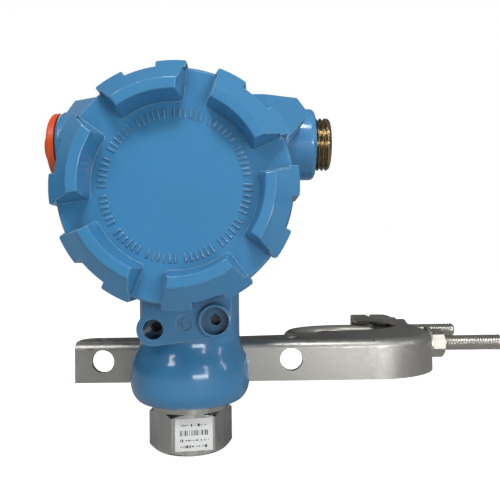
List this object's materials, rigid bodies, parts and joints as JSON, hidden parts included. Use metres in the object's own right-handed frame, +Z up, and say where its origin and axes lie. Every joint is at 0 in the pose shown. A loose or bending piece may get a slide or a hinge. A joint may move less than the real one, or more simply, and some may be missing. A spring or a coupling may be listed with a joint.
{
  "type": "pressure transmitter",
  "caption": "In-line pressure transmitter: two-compartment housing with screwed covers and conduit bosses, stainless process port, and a formed pipe bracket with a U-bolt.",
  "frame": {"origin": "centre of the hexagon's lower face, on the axis of the process port", "axes": "+Z up along the sensor's axis, -Y out of the terminal cover, +X towards the U-bolt's leg ends"},
  "size_m": [0.2128, 0.2015, 0.1404],
  "materials": {
    "blue_enamel": "satin blue enamel on die-cast aluminium",
    "seal_rubber": "matt",
    "black_plastic": "moulded, matt",
    "plated_screws": "stainless, turned",
    "bright_stainless": "machined bright",
    "circuit_board": "green solder mask",
    "orange_plastic": "moulded polyethylene",
    "plug_brass": "yellow-zinc plated thread",
    "tumbled_stainless": "formed plate, tumbled, grey-brown",
    "drawn_stainless": "drawn rod"
  },
  "bodies": {
    "sensor": {"process_connection": "bright_stainless", "isolating_diaphragm": "bright_stainless", "neck_seal": "seal_rubber", "sensor_board": "circuit_board", "sensor_header": "black_plastic"},
    "housing": {"housing": "blue_enamel", "terminal_block": "black_plastic", "terminal_screws": "plated_screws", "terminal_block_screws": "plated_screws", "feedthrough": "plated_screws", "electronics_module": "black_plastic", "electronics_screws": "plated_screws", "housing_lock_screw": "plated_screws", "bracket": "tumbled_stainless", "bracket_bolts": "plated_screws", "bracket_lock_washers": "plated_screws"},
    "front_seal": {"front_cover_seal": "seal_rubber"},
    "front_cover": {"front_cover": "blue_enamel"},
    "rear_seal": {"rear_cover_seal": "seal_rubber"},
    "rear_cover": {"rear_cover": "blue_enamel"},
    "dust_plug": {"dust_plug": "orange_plastic"},
    "conduit_plug": {"conduit_plug": "plug_brass"},
    "u_bolt": {"u_bolt": "drawn_stainless", "u_bolt_nuts": "drawn_stainless", "u_bolt_washers": "drawn_stainless"}
  },
  "joints": [
    {"name": "housing_turn", "type": "hinge", "parent": "sensor", "child": "housing", "pos_m": [0, 0, 0.04], "axis": [0, 0, 1], "range_deg": [-180, 180]},
    {"name": "front_cover_travel", "type": "slide", "parent": "housing", "child": "front_seal", "axis": [0, -1, 0], "range_m": [0, 0.0121]},
    {"name": "front_cover_turn", "type": "hinge", "parent": "front_seal", "child": "front_cover", "pos_m": [0, -0.028, 0.099], "axis": [0, -1, 0], "range_deg": [0, 2160]},
    {"name": "rear_cover_travel", "type": "slide", "parent": "housing", "child": "rear_seal", "axis": [0, 1, 0], "range_m": [0, 0.0121]},
    {"name": "rear_cover_turn", "type": "hinge", "parent": "rear_seal", "child": "rear_cover", "pos_m": [0, 0.028, 0.099], "axis": [0, 1, 0], "range_deg": [0, 2160]},
    {"name": "dust_plug_pull", "type": "slide", "parent": "housing", "child": "dust_plug", "axis": [-1, 0, 0], "range_m": [0, 0.012]},
    {"name": "conduit_plug_unscrew", "type": "slide", "parent": "housing", "child": "conduit_plug", "axis": [1, 0, 0], "range_m": [0, 0.012]},
    {"name": "u_bolt_slide", "type": "slide", "parent": "housing", "child": "u_bolt", "axis": [1, 0, 0], "range_m": [0, 0.028]}
  ],
  "couplings": [
    {"joint": "front_cover_travel", "follows": "front_cover_turn", "m_per_rad": 0.00031831},
    {"joint": "rear_cover_travel", "follows": "rear_cover_turn", "m_per_rad": 0.00031831}
  ]
}
